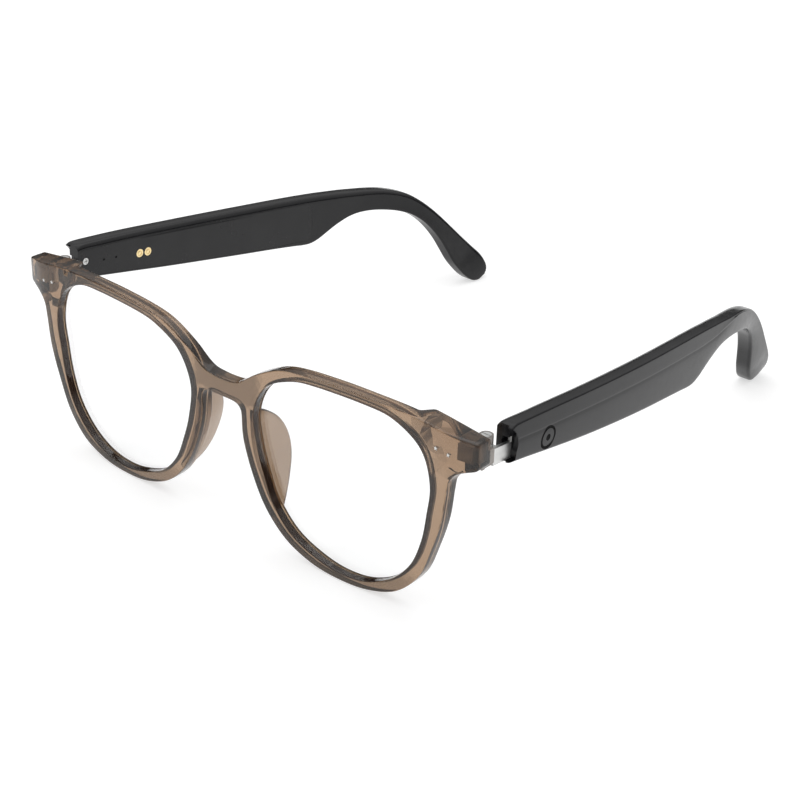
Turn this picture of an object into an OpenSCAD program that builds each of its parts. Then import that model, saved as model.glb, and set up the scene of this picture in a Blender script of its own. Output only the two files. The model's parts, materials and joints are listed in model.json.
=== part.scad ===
// Smart glasses: a translucent front, thick powered temples and steel hinges.
// Millimetres, +Z up. The glasses stand on the rims' lowest points and on the ear tips.
// Working frame: x = 0 is the middle plane, y = 0 is the endpieces' front corner, y grows towards the ears.
// place() moves the working frame so that the origin is the middle of the box's underside.

/* [Front] */
// Width between the outer corners of the endpieces
front_w = 146; // [138:0.5:150]
// Depth of the rims from front to back
rim_t = 3.6; // [3:0.1:5]
// Depth of the endpieces' rear face behind y = 0
endpiece_rear = 4; // [3:0.1:5]
// Forward lean of the front, in degrees
front_lean = 0.8; // [0:0.1:6]

/* [Lenses] */
// Thickness of a lens
lens_t = 1; // [0.8:0.1:2]
// Distance from the front surface to a lens
lens_inset = 2; // [1:0.1:2.4]
// How far a lens reaches into its groove
lens_grip = 0.65; // [0.4:0.05:0.9]

/* [Temples] */
// Thickness of a temple from its outer to its inner face
temple_t = 4.8; // [4.5:0.1:6]
// Thickness of the shell's walls
wall_t = 0.9; // [0.8:0.1:1.2]
// Thickness of the inner cover
cover_t = 0.7; // [0.6:0.1:1]

/* [Hinges] */
// Radius of the hinge knuckles
knuckle_r = 1.6; // [1.3:0.05:2]
// Radius of the pivot screw
pivot_r = 0.7; // [0.5:0.05:0.9]
// Radial clearance of the moving knuckle on the screw
pivot_gap = 0.05; // [0.02:0.01:0.1]

/* [Electronics] */
// Diameter of a charging contact
contact_d = 2.4; // [1.6:0.1:3]
// Length of the battery cell
battery_l = 24; // [16:1:26]

/* [Hidden] */

mid_y = 78; // middle of the box, from the front surface to the ear tips

// ---- curves ----
function unit(v) = v / norm(v);
function spline_point(a, b, c, d, t) =
  0.5 * ((2 * b) + (c - a) * t + (2 * a - 5 * b + 4 * c - d) * t * t + (3 * b - a - 3 * c + d) * t * t * t);
// a smooth curve through the points, with a number of pieces between two points, without its last point
function smooth(p, pieces) =
  let (last = len(p) - 1)
  [for (i = [0 : last - 1], k = [0 : pieces - 1])
     spline_point(p[max(i - 1, 0)], p[i], p[i + 1], p[min(i + 2, last)], k / pieces)];
function smooth_ring(p, pieces) =
  let (n = len(p))
  [for (i = [0 : n - 1], k = [0 : pieces - 1])
     spline_point(p[(i + n - 1) % n], p[i], p[(i + 1) % n], p[(i + 2) % n], k / pieces)];
// the outline moved outwards by d, for an outline that runs clockwise
function outset(p, d) =
  let (n = len(p))
  [for (i = [0 : n - 1])
     let (t = unit(p[(i + 1) % n] - p[(i + n - 1) % n])) p[i] + d * [-t.y, t.x]];
function reversed(p) = [for (i = [len(p) - 1 : -1 : 0]) p[i]];
function mirrored(p) = [for (q = reversed(p)) [-q.x, q.y]];
function without_first(p) = [for (i = [1 : len(p) - 1]) p[i]];

// ---- the front, seen from ahead: [x, z] ----
LENS_EDGE = [
  [60.7, 26.7], [59.4, 19.2], [56.6, 12.1], [51.3, 6.3], [44.3, 2.8], [36.5, 2], [29, 3.5], [22, 6.7],
  [16.7, 12.3], [13.6, 19.2], [11.3, 26.7], [10.5, 35.1], [14.4, 42.7], [21.9, 46.7], [29.6, 48], [43.5, 48.3],
  [51.5, 47.3], [58.6, 42.7], [61.4, 34.8]
];
lens_edge = smooth_ring(LENS_EDGE, 3);
half_w = front_w / 2;
BRIDGE_UNDER = [[0, 35.5], [4.6, 35.5], [5.8, 34.9]];
RIM_UNDER = [
  [6.5, 33], [7, 26.4], [9.9, 17.8], [14.1, 10.2], [20.3, 4.3], [28.2, 1], [36.4, 0], [44.8, 0.6], [53, 3.6],
  [59.1, 10], [62.4, 18], [64.9, 26.4], [65.9, 34], [66.6, 37.6], [68.6, 39.8], [72.3, 41.4]
];
FRONT_TOP = [
  [60, 49.6], [53, 50.2], [45, 50.4], [36, 50.4], [25.4, 49.8], [18.3, 48.4], [11.4, 45], [6.9, 41.8],
  [4.2, 40.6], [0, 40.3]
];
front_half = concat(
  BRIDGE_UNDER, smooth(RIM_UNDER, 3),
  [[half_w - 0.7, 41.4], [half_w, 42], [half_w, 47.4], [half_w - 0.6, 48]],
  smooth(FRONT_TOP, 3)
);
front_outline = concat(front_half, [FRONT_TOP[9]], mirrored(without_first(front_half)));

// ---- the front, seen from above: [x, y] ----
function bow(x) = 0.0007 * x * x - 4.6;
// the front surface, moved back by d
function face(d) = concat(
  [for (x = [0 : 6 : 60]) [x, bow(x) + d]],
  [[64, -2.25 + d], [67.5, -2.1 + d], [70.5, -1.1 + d], [half_w - 0.6, -0.4 + d], [half_w, 0.1 + d]]
);
function whole(p) = concat(mirrored(p), without_first(p));
function slab(front, back) = concat(whole(front), reversed(whole(back)));

module place() { translate([0, -mid_y, 0]) children(); }
module on_side(side) { place() mirror([side > 0 ? 0 : 1, 0, 0]) children(); }
// an [x, z] outline made solid along y
module along_y(outline, from, to) {
  translate([0, to, 0]) rotate([90, 0, 0]) linear_extrude(to - from) polygon(outline);
}
// an [y, z] outline made solid along x
module along_x(outline, from, to) {
  translate([from, 0, 0]) rotate([90, 0, 90]) linear_extrude(to - from) polygon(outline);
}
// an [x, y] outline made solid along z
module along_z(outline, from, to) { translate([0, 0, from]) linear_extrude(to - from) polygon(outline); }
// the curved layer of the front between two depths
module layer(from, to, width) {
  translate([0, 0, 25]) rotate([front_lean, 0, 0]) translate([0, 0, -25])
    intersection() {
      along_z(slab(face(from), face(to)), -10, 60);
      translate([-width / 2, -20, -10]) cube([width, 60, 70]);
    }
}

// ---- hinge places ----
pivot = [69, 7.3];
knuckle_low = 41.05;
knuckle_high = 44.35;
ear_gap = 0.05;
ear_low = 39.4;
ear_high = 46.4;
plate_t = 1; // of the hinge's base plate
anchor = [[66.8, 70.4], [42.4, 46.4]]; // x and z range of the metal block inside the endpiece
anchor_front = 1.2; // y of the block's front face
PINS = [[62.8, 44.4], [66.1, 43.9]]; // ornamental pins in the endpiece's face
pin_r = 0.4;
pin_y = [-2.1, -0.9];
head_r = 1.15;
head_t = 0.5;

module front_frame() {
  color([0.47, 0.37, 0.28, 0.85])
  place() difference() {
    union() {
      intersection() {
        along_y(front_outline, -9, 20);
        union() {
          layer(0, rim_t, 150);
          for (side = [0, 1]) mirror([side, 0, 0])
            difference() {
              translate([57, -2, 39]) cube([half_w - 57, endpiece_rear + 2, 12]);
              along_y(outset(lens_edge, 1.4), 2.2, 20);
            }
        }
      }
      for (side = [0, 1]) mirror([side, 0, 0]) nose_pad();
    }
    for (side = [0, 1]) mirror([side, 0, 0]) {
      intersection() {
        along_y(lens_edge, -9, 20);
        layer(-2, rim_t + 0.02, 130);
      }
      intersection() {
        along_y(outset(lens_edge, lens_grip + 0.05), -9, 20);
        layer(lens_inset - 0.02, lens_inset + lens_t + 0.02, 130);
      }
      endpiece_pockets();
    }
  }
}

// The pad is one moulding with the rim: a fin that runs back and outwards beside the nose.
PAD = [ // [x, depth behind the front surface, z, radius]
  [8.5, 2.8, 33.2, 1], [9.9, 8.9, 31, 1], [11.8, 11, 24, 1.1], [13.3, 8.7, 15.5, 1.1], [16.3, 3.1, 9.2, 1],
  [9.3, 2.8, 22, 1.4], [12.8, 2.8, 15, 1.4]
];
module nose_pad() {
  hull() for (p = PAD) translate([p[0], bow(p[0]) + p[1], p[2]]) sphere(p[3], $fn = 16);
}

module endpiece_pockets() {
  translate([anchor[0][0], anchor_front, anchor[1][0]])
    cube([anchor[0][1] - anchor[0][0], 20, anchor[1][1] - anchor[1][0]]);
  for (p = PINS) translate([p.x, -4, p.y]) rotate([-90, 0, 0]) cylinder(4 + pin_y[1], r = pin_r, $fn = 24);
}

module lens(side) {
  color([0.93, 0.96, 0.97, 0.3])
  on_side(side) intersection() {
    along_y(outset(lens_edge, lens_grip), -9, 20);
    layer(lens_inset, lens_inset + lens_t, 130);
  }
}

module hinge_base(side) {
  color([0.2, 0.18, 0.17])
  on_side(side) difference() {
    union() {
      translate([anchor[0][0], anchor_front, anchor[1][0]])
        cube([anchor[0][1] - anchor[0][0], endpiece_rear - anchor_front, anchor[1][1] - anchor[1][0]]);
      translate([70.6, endpiece_rear, 41.4]) cube([1.9, 1.8, 3.6]); // guard beside the knuckles
      translate([67.2, endpiece_rear, ear_low]) cube([3.6, plate_t, ear_high - ear_low]);
      ear(ear_low, knuckle_low - ear_gap);
      ear(knuckle_high + ear_gap, ear_high);
    }
    translate([pivot.x, pivot.y, ear_low - 1]) cylinder(20, r = pivot_r, $fn = 48);
    translate([pivot.x, pivot.y, ear_high - head_t]) cylinder(2, r = head_r, $fn = 48);
  }
}
module ear(low, high) {
  translate([pivot.x, pivot.y, low]) cylinder(high - low, r = knuckle_r, $fn = 48);
  translate([pivot.x - knuckle_r, endpiece_rear + 0.5, low])
    cube([2 * knuckle_r, pivot.y - endpiece_rear - 0.5, high - low]);
}

module front_pins(side) {
  color([0.85, 0.85, 0.86])
  on_side(side) for (p = PINS)
    translate([p.x, pin_y[0], p.y]) rotate([-90, 0, 0]) cylinder(pin_y[1] - pin_y[0], r = pin_r, $fn = 24);
}

module hinge_screw(side) {
  color([0.72, 0.72, 0.74])
  on_side(side) translate([pivot.x, pivot.y, ear_low]) difference() {
    union() {
      cylinder(ear_high - ear_low - 0.1, r = pivot_r, $fn = 48);
      translate([0, 0, ear_high - ear_low - head_t]) cylinder(head_t, r = head_r, $fn = 48);
    }
    translate([-1.5, -0.12, ear_high - ear_low - 0.25]) cube([3, 0.24, 1]);
  }
}

// ---- the temple ----
slope = 0.099; // fall of the temple's top edge per unit of length
function outer_x(y) = let (u = y - 10) 73.4 - 0.0116 * u - 0.0006 * u * u - 0.00256 * pow(max(u - 100, 0), 2);
tip_y = 162;
// a layer of the temple between two depths below its outer face, seen from above
function temple_band(from, to, y0, y1) = let (steps = max(2, ceil((y1 - y0) / 7))) concat(
  [for (k = [0 : steps]) let (y = y0 + (y1 - y0) * k / steps) [outer_x(y) - from, y]],
  [for (k = [steps : -1 : 0]) let (y = y0 + (y1 - y0) * k / steps) [outer_x(y) - to, y]]
);
TOP_EDGE = [[13, 48.3], [28.5, 46.95], [68, 42.85], [94.6, 40.2], [112, 37.9], [124, 35.7], [130.2, 33.6]];
EAR_TOP = [[130.2, 33.6], [137.5, 28.9], [144.6, 22.6], [151.8, 15.1], [159.1, 7.5], [160.8, 4.2]];
EAR_TIP = [[160.8, 4.2], [160.5, 2.1], [158.5, 0.5], [155.2, 0], [152.4, 0.9]];
EAR_UNDER = [[152.4, 0.9], [149.8, 3.3], [146.9, 7.1], [144.2, 12.4], [141, 17.8], [137.6, 22.2], [130.5, 27]];
STEP_UNDER = [
  [130.5, 27], [123.1, 29.7], [111.8, 31.2], [106, 30.2], [100.3, 28], [96.5, 26.3], [93.6, 26], [88.9, 26.9]
];
BOTTOM_EDGE = [[88.9, 26.9], [72, 29], [54, 31.6], [36, 34.7], [20, 37.5], [10.8, 39.1]];
temple_outline = concat(
  [[10.3, 46.4], [11, 47.5]], smooth(TOP_EDGE, 2), smooth(EAR_TOP, 2), smooth(EAR_TIP, 2),
  smooth(EAR_UNDER, 2), smooth(STEP_UNDER, 2), smooth(BOTTOM_EDGE, 1), [[10.8, 39.1], [9.4, 40.4], [10.3, 43], [10.2, 45]]
);
function top_z(y) = lookup(y, TOP_EDGE);
function bottom_z(y) = lookup(y, reversed(BOTTOM_EDGE));
// the outline of the space behind the cover, kept away from the temple's top and bottom edges
function inner_outline(top, low, y0, y1) = concat(
  [for (k = [0 : 6]) let (y = y0 + (y1 - y0) * k / 6) [y, top_z(y) - top]],
  [[y1 + 1.5, top_z(y1) - top - 1.6], [y1 + 1.5, bottom_z(y1) + low + 2.4]],
  [for (k = [6 : -1 : 0]) let (y = y0 + (y1 - y0) * k / 6) [y, bottom_z(min(y, 88.9)) + low]]
);
room_y0 = 17.5;
room_y1 = 91;
cover_y0 = 12.6;
cover_y1 = 93;
room_depth = temple_t - cover_t; // from the outer face to the cover
tongue = [70.7, 71.7]; // x range of the arm's flat tongue
tongue_y1 = 16;
TONGUE = [[6.6, 44], [12.9, 43.35], [12.9, 44.9], [tongue_y1, 44.6], [tongue_y1, 39.2], [6.6, 39.85]];
screw_at = [14, 43.4];
mouth_y1 = 12.8;
mouth_floor = 39.3;
mouth_roof = 45;

// a frame on the temple's outer face, moved in by depth: x outwards, y along the temple, z up
module at_station(y, z, depth) {
  translate([outer_x(y), y, z])
    rotate([0, 0, atan(0.0116 + 0.0012 * (y - 10))]) rotate([-atan(slope), 0, 0])
      translate([-depth, 0, 0]) children();
}
// a box in that frame, centred on the station, going inwards
module slab_box(length, height, thick) {
  translate([-thick, -length / 2, -height / 2]) cube([thick, length, height]);
}
// a round piece in that frame, going inwards
module slab_disc(r, thick) { rotate([0, -90, 0]) cylinder(thick, r = r, $fn = 48); }

module temple_layer(outline, from, to, y0, y1) {
  intersection() {
    along_x(outline, 30, 80);
    along_z(temple_band(from, to, y0, y1), -2, 60);
  }
}

CONTACTS = [[32.4, 40.4], [35.2, 40.1]];
MIC = [20.1, 42.2];
LED = [24.2, 41.7];
speaker_y = 83.5;
speaker_z = 34.2;
port = [8, 1.4]; // sound outlet in the temple's underside

module temple_shell(side) {
  color([0.04, 0.04, 0.045])
  on_side(side) difference() {
    temple_layer(temple_outline, 0, temple_t, 9, tip_y);
    temple_layer(inner_outline(2.2, 1.1, room_y0, room_y1), wall_t, 9, room_y0, room_y1 + 2);
    temple_layer(inner_outline(1.6, 0.7, cover_y0, cover_y1), room_depth, 9, cover_y0, cover_y1 + 2);
    translate([71.9, 8.3, 43.5]) rotate([0, 90, 0]) cylinder(5, r = 4.9, $fn = 72);
    translate([60, 5, 30]) cube([11.9, 6.5, 30]); // only the outer wall reaches the front end
    translate([70, 5, mouth_floor]) cube([10, mouth_y1 - 5, mouth_roof - mouth_floor]);
    translate([tongue[0] - 0.05, 12, 39.1]) cube([tongue[1] - tongue[0] + 0.1, tongue_y1 - 11.9, 5.9]);
    translate([60, screw_at.x, screw_at.y]) rotate([0, 90, 0]) cylinder(11.9, r = 0.5, $fn = 32);
    sound_port();
    if (side > 0) touch_groove(0.02);
    temple_layer(core_outline, core_depth[0], core_depth[1], 92, tip_y);
  }
}

// the bendable steel core of the ear piece, in the middle of the shell
CORE = [[94, 33.6], [112, 34.6], [122, 33.3], [130, 30.6], [138, 25.2], [146, 16.3], [152, 7.6], [154.5, 4]];
core_path = concat(smooth(CORE, 2), [[154.5, 4]]);
core_outline = concat(core_path, reversed([for (p = core_path) p + [-0.75, -1.1]]));
core_depth = [1.9, 2.9];
module tip_core(side) {
  color([0.6, 0.6, 0.62])
  on_side(side) temple_layer(core_outline, core_depth[0], core_depth[1], 92, tip_y);
}

module temple_cover(side) {
  color([0.1, 0.1, 0.105])
  on_side(side) difference() {
    temple_layer(inner_outline(1.6, 0.7, cover_y0, cover_y1), room_depth, temple_t, cover_y0, cover_y1 + 2);
    translate([60, screw_at.x, screw_at.y]) rotate([0, 90, 0]) cylinder(20, r = 0.5, $fn = 32);
    translate([60, screw_at.x, screw_at.y]) rotate([0, 90, 0])
      cylinder(outer_x(screw_at.x) - temple_t + 0.5 - 60, r = 1, $fn = 32);
    for (c = CONTACTS) at_station(c.x, c.y, room_depth - 1) slab_disc(contact_d / 2, 4);
    for (h = [MIC, LED]) at_station(h.x, h.y, room_depth - 1) slab_disc(0.3, 4);
  }
}

module tongue_screw(side) {
  color([0.8, 0.8, 0.82])
  on_side(side) translate([outer_x(screw_at.x) - temple_t, screw_at.x, screw_at.y]) rotate([0, 90, 0])
    difference() {
      union() {
        cylinder(0.5, r = 1, $fn = 32);
        cylinder(3.2, r = 0.5, $fn = 32);
      }
      for (turn = [0, 90]) rotate([0, 0, turn]) translate([-0.65, -0.13, -0.1]) cube([1.3, 0.26, 0.4]);
    }
}

module hinge_arm(side) {
  color([0.86, 0.86, 0.87])
  on_side(side) difference() {
    union() {
      translate([pivot.x, pivot.y, knuckle_low]) cylinder(knuckle_high - knuckle_low, r = knuckle_r, $fn = 48);
      translate([pivot.x, pivot.y - 0.7, knuckle_low])
        cube([tongue[0] - pivot.x + 0.2, 2.3, 43.6 - knuckle_low]);
      along_x(TONGUE, tongue[0], tongue[1]);
    }
    translate([pivot.x, pivot.y, knuckle_low - 1]) cylinder(9, r = pivot_r + pivot_gap, $fn = 48);
    translate([60, screw_at.x, screw_at.y]) rotate([0, 90, 0]) cylinder(20, r = 0.5, $fn = 32);
  }
}

// ---- touch mark: a plain ring with a dot, on the left temple's outer face ----
mark_at = [24.8, 40.3];
mark_r = 2.8;
module touch_groove(extra) {
  at_station(mark_at.x, mark_at.y, -1) rotate([0, -90, 0]) difference() {
    cylinder(1.25, r = mark_r + extra, $fn = 72);
    translate([0, 0, -1]) cylinder(4, r = mark_r - 0.6 - extra, $fn = 72);
  }
  at_station(mark_at.x, mark_at.y, -1) slab_disc(0.8 + extra, 1.25);
}
module touch_mark(side) {
  color([0.02, 0.02, 0.02])
  on_side(side) intersection() {
    touch_groove(0);
    temple_layer(temple_outline, 0.08, wall_t, 10, 60);
  }
}

// ---- electronics ----
module charge_contacts(side) {
  color([0.88, 0.74, 0.45])
  on_side(side) for (c = CONTACTS)
    at_station(c.x, c.y, room_depth) slab_disc(contact_d / 2 - 0.02, cover_t + 0.02);
}
holder_at = [33.8, 40.25];
module contact_holder(side) {
  color([0.15, 0.15, 0.16])
  on_side(side) at_station(holder_at.x, holder_at.y, room_depth - 0.9) slab_box(7, 4, 0.85);
}
module charge_magnets(side) {
  color([0.5, 0.5, 0.52])
  on_side(side) for (y = [28.4, 39.2]) at_station(y, top_z(y) - 5.3, room_depth - 0.9) slab_box(2.6, 4, 0.85);
}
board_at = [34, 40.7];
module main_board(side) {
  color([0.05, 0.25, 0.14])
  on_side(side) at_station(board_at.x, board_at.y, room_depth - 1.55) slab_box(30, 5.6, 0.4);
}
module board_chips(side) {
  color([0.09, 0.09, 0.1])
  on_side(side) for (c = [[-9, 3.6], [-2, 4.4], [5.5, 3], [11, 2.4]])
    at_station(board_at.x, board_at.y, room_depth - 2.26)
      translate([0, c[0], 0]) slab_box(c[1], c[1], 0.7);
}
module battery(side) {
  color([0.3, 0.32, 0.38])
  on_side(side) at_station(62.5, 36.6, wall_t + 0.4) slab_box(battery_l, 7.6, 2);
}
module inner_flex(side) {
  color([0.72, 0.45, 0.15])
  on_side(side)
    temple_layer([[50.4, 35], [76.5, 31.7], [76.5, 30.7], [50.4, 34]], wall_t + 0.04, wall_t + 0.14, 50.5, 76);
}
speaker_size = [13, 6.4, 2.2];
module speaker_case(side) {
  color([0.12, 0.12, 0.13])
  on_side(side) difference() {
    at_station(speaker_y, speaker_z, wall_t + 0.15) slab_box(speaker_size.x, speaker_size.y, speaker_size.z);
    at_station(speaker_y, speaker_z, wall_t + 0.65) slab_box(speaker_size.x - 1.2, speaker_size.y - 1.2, 3);
  }
}
module speaker_magnet(side) {
  color([0.45, 0.45, 0.47])
  on_side(side) at_station(speaker_y, speaker_z, wall_t + 0.65) slab_box(7, 3.6, 0.8);
}
module speaker_cone(side) {
  color([0.2, 0.2, 0.22])
  on_side(side) at_station(speaker_y, speaker_z, wall_t + 1.9) slab_box(11, 4.6, 0.2);
}
module sound_port() {
  translate([outer_x(speaker_y) - 2.9, speaker_y - port.x / 2, 24]) cube([port.y, port.x, 6.4]);
}
module speaker_mesh(side) {
  color([0.3, 0.3, 0.3])
  on_side(side) intersection() {
    sound_port();
    temple_layer([[70, 29.75], [88.9, 27.35], [88.9, 27.65], [70, 30.05]], 0.5, 3.9, 72, 88.9);
  }
}
module microphone(side) {
  color([0.75, 0.68, 0.45])
  on_side(side) at_station(MIC.x, MIC.y, room_depth - 0.9) slab_box(2.7, 1.9, 0.85);
}
module status_light(side) {
  color([0.85, 0.87, 0.8])
  on_side(side) at_station(LED.x, LED.y, room_depth - 0.75) slab_box(1.6, 0.8, 0.7);
}
module touch_sensor(side) {
  color([0.75, 0.5, 0.2])
  on_side(side)
    temple_layer([[19, 45.2], [44, 42.8], [44, 36.9], [19, 39.8]], wall_t + 0.04, wall_t + 0.14, 19, 43);
}
module antenna(side) {
  color([0.8, 0.65, 0.35])
  on_side(side)
    temple_layer([[20, 45.3], [48, 42.45], [48, 42.25], [20, 45.1]], wall_t + 0.3, room_depth - 0.3, 20, 48);
}

front_frame();
lens(1);  // lens_left
lens(-1);  // lens_right
touch_mark(1);  // touch_mark_left
temple_shell(1);  // temple_shell_left
temple_shell(-1);  // temple_shell_right
temple_cover(1);  // temple_cover_left
temple_cover(-1);  // temple_cover_right
hinge_base(1);  // hinge_base_left
hinge_base(-1);  // hinge_base_right
front_pins(1);  // front_pins_left
front_pins(-1);  // front_pins_right
hinge_arm(1);  // hinge_arm_left
hinge_arm(-1);  // hinge_arm_right
hinge_screw(1);  // hinge_screw_left
hinge_screw(-1);  // hinge_screw_right
tongue_screw(1);  // tongue_screw_left
tongue_screw(-1);  // tongue_screw_right
charge_contacts(1);  // charge_contacts_left
charge_contacts(-1);  // charge_contacts_right
contact_holder(1);  // contact_holder_left
contact_holder(-1);  // contact_holder_right
charge_magnets(1);  // charge_magnets_left
charge_magnets(-1);  // charge_magnets_right
main_board(1);  // main_board_left
main_board(-1);  // main_board_right
board_chips(1);  // board_chips_left
board_chips(-1);  // board_chips_right
battery(1);  // battery_left
battery(-1);  // battery_right
inner_flex(1);  // inner_flex_left
inner_flex(-1);  // inner_flex_right
speaker_case(1);  // speaker_case_left
speaker_case(-1);  // speaker_case_right
speaker_magnet(1);  // speaker_magnet_left
speaker_magnet(-1);  // speaker_magnet_right
speaker_cone(1);  // speaker_cone_left
speaker_cone(-1);  // speaker_cone_right
speaker_mesh(1);  // speaker_mesh_left
speaker_mesh(-1);  // speaker_mesh_right
microphone(1);  // microphone_left
microphone(-1);  // microphone_right
status_light(1);  // status_light_left
status_light(-1);  // status_light_right
touch_sensor(1);  // touch_sensor_left
touch_sensor(-1);  // touch_sensor_right
antenna(1);  // antenna_left
antenna(-1);  // antenna_right
tip_core(1);  // tip_core_left
tip_core(-1);  // tip_core_right
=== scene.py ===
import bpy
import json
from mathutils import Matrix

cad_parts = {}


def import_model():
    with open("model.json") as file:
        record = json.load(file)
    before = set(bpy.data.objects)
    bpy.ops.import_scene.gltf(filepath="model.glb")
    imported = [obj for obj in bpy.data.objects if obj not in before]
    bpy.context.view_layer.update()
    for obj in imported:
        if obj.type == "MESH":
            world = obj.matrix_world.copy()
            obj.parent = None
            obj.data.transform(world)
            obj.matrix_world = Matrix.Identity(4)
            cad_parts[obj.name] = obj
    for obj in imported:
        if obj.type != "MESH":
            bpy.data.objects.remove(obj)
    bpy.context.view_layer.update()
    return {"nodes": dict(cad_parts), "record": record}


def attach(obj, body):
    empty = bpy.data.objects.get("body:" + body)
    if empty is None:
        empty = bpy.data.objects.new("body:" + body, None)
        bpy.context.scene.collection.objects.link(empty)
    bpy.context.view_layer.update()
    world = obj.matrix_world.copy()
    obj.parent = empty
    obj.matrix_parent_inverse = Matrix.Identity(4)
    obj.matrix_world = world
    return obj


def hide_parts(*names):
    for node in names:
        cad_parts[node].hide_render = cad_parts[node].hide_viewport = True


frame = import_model()
import json
import math
import bmesh
import bpy
from mathutils import Matrix, Vector
from mathutils.geometry import delaunay_2d_cdt

nodes = frame["nodes"]

# Working frame: millimetres, x = 0 in the middle, y = 0 at the endpieces' front corner, z = 0 on the floor.
MID_Y = 78
MM = 0.001
RIM_T = 3.6
EDGE_R = 0.38
ENDPIECE_REAR = 4
LEAN = math.tan(math.radians(0.8))
LEAN_Z = 25
BOW = 0.0007
BOW_Y = -4.6
LENS_INSET = 2
LENS_T = 1
LENS_GRIP = 0.65


def world(x, y, z):
    return Vector((x * MM, (y - MID_Y) * MM, z * MM))


# ---------- curves ----------
def spline(points, pieces, closed=False):
    """A smooth curve through the points; an open one keeps its last point."""
    n = len(points)
    out = []
    for i in range(n if closed else n - 1):
        if closed:
            a, b, c, d = (points[(i + k) % n] for k in (-1, 0, 1, 2))
        else:
            a, b, c, d = (points[min(max(i + k, 0), n - 1)] for k in (-1, 0, 1, 2))
        for k in range(pieces):
            t = k / pieces
            out.append(tuple(
                0.5 * (2 * q + (r - p) * t + (2 * p - 5 * q + 4 * r - s) * t * t
                       + (3 * q - p - 3 * r + s) * t ** 3)
                for p, q, r, s in zip(a, b, c, d)
            ))
    if not closed:
        out.append(tuple(points[-1]))
    return out


def smoothstep(t):
    t = min(max(t, 0), 1)
    return t * t * (3 - 2 * t)


def along(points, x):
    """The value at x on a smooth line through points that are sorted by x."""
    if x <= points[0][0]:
        return points[0][1]
    for i in range(len(points) - 1):
        x0, x1 = points[i][0], points[i + 1][0]
        if x <= x1:
            a = points[max(i - 1, 0)][1]
            d = points[min(i + 2, len(points) - 1)][1]
            b, c = points[i][1], points[i + 1][1]
            t = (x - x0) / (x1 - x0)
            return 0.5 * (2 * b + (c - a) * t + (2 * a - 5 * b + 4 * c - d) * t * t
                          + (3 * b - a - 3 * c + d) * t ** 3)
    return points[-1][1]


def evenly(points, step):
    """The closed outline with points a near-equal step apart."""
    ring = [Vector(p) for p in points]
    ring.append(ring[0])
    total = sum((b - a).length for a, b in zip(ring, ring[1:]))
    count = round(total / step)
    out = []
    left = 0.0
    i = 0
    for k in range(count):
        goal = total * k / count
        while left + (ring[i + 1] - ring[i]).length < goal:
            left += (ring[i + 1] - ring[i]).length
            i += 1
        seg = ring[i + 1] - ring[i]
        out.append(ring[i] + seg * ((goal - left) / seg.length))
    return out


def outset(ring, d):
    """Each point of a clockwise outline moved outwards by d."""
    n = len(ring)
    out = []
    for i in range(n):
        t = (ring[(i + 1) % n] - ring[i - 1]).normalized()
        out.append(ring[i] + Vector((-t.y, t.x)) * d)
    return out


def within(ring, p):
    """Whether the point lies inside the outline."""
    inside = False
    for a, b in zip(ring, ring[1:] + ring[:1]):
        if (a.y > p.y) != (b.y > p.y) and p.x < a.x + (p.y - a.y) * (b.x - a.x) / (b.y - a.y):
            inside = not inside
    return inside


# ---------- mesh helpers ----------
def new_object(name, bm, sharp=None):
    bmesh.ops.recalc_face_normals(bm, faces=bm.faces)
    mesh = bpy.data.meshes.new(name)
    bm.to_mesh(mesh)
    bm.free()
    for p in mesh.polygons:
        p.use_smooth = True
    if sharp is not None:
        mesh.set_sharp_from_angle(angle=math.radians(sharp))
    obj = bpy.data.objects.new(name, mesh)
    bpy.context.scene.collection.objects.link(obj)
    return obj


def bridge_rings(bm, rings):
    """Faces between each closed ring of vertices and the next."""
    for a, b in zip(rings, rings[1:]):
        n = len(a)
        for i in range(n):
            bm.faces.new((a[i], a[(i + 1) % n], b[(i + 1) % n], b[i]))


def loft(name, rings, sharp=None):
    """A closed solid through rings of points, each cap one face."""
    bm = bmesh.new()
    made = [[bm.verts.new(world(*p)) for p in ring] for ring in rings]
    bridge_rings(bm, made)
    bm.faces.new(made[0])
    bm.faces.new(list(reversed(made[-1])))
    return new_object(name, bm, sharp)


def prism(name, outline, near, far):
    """A [y, z] outline made solid between two planes of equal x, as a cutter."""
    return loft(name, [[(x, y, z) for y, z in outline] for x in (near, far)])


def boolean(obj, other, operation):
    """Joins the other solid to the object, or cuts it out, and removes it."""
    mod = obj.modifiers.new(operation, "BOOLEAN")
    mod.operation = operation
    mod.solver = "EXACT"
    mod.object = other
    depsgraph = bpy.context.evaluated_depsgraph_get()
    mesh = bpy.data.meshes.new_from_object(obj.evaluated_get(depsgraph))
    obj.modifiers.clear()
    old = obj.data
    obj.data = mesh
    bpy.data.meshes.remove(old)
    bpy.data.objects.remove(other)


def mirror_copy(obj, name):
    twin = obj.copy()
    twin.data = obj.data.copy()
    twin.name = name
    twin.data.transform(Matrix.Scale(-1, 4, (1, 0, 0)))
    twin.data.flip_normals()
    bpy.context.scene.collection.objects.link(twin)
    return twin


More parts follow.
